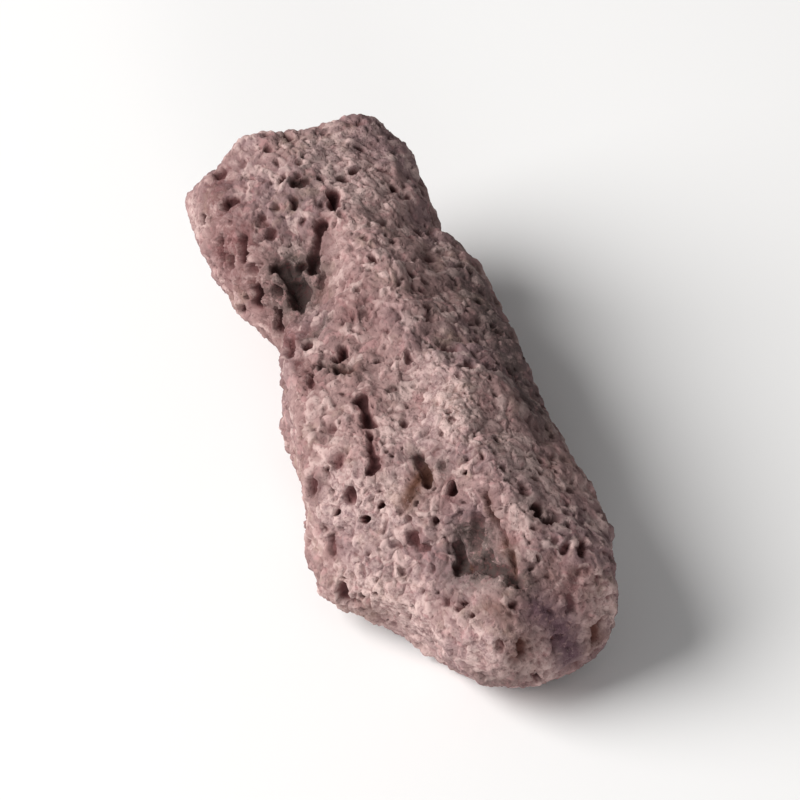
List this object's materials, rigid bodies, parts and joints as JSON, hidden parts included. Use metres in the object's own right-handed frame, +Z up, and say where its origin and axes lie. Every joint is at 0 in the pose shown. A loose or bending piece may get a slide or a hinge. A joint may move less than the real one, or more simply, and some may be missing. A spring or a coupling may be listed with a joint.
{
  "type": "lava rock",
  "caption": "Long, slightly bent stone of porous red-brown scoria, narrowed on one side of its middle, open gas-bubble pits all over, lying on its flattest side.",
  "frame": {"origin": "middle of the bounding box, on the flat patch that the stone rests on", "axes": "+Y along the stone towards its knobby, bent end, +X to the right seen from the other end, +Z up"},
  "size_m": [0.0354, 0.0854, 0.0267],
  "materials": {
    "scoria": "rough, open-pored, dull"
  },
  "bodies": {
    "root": {"lava_rock": "scoria"}
  },
  "joints": []
}
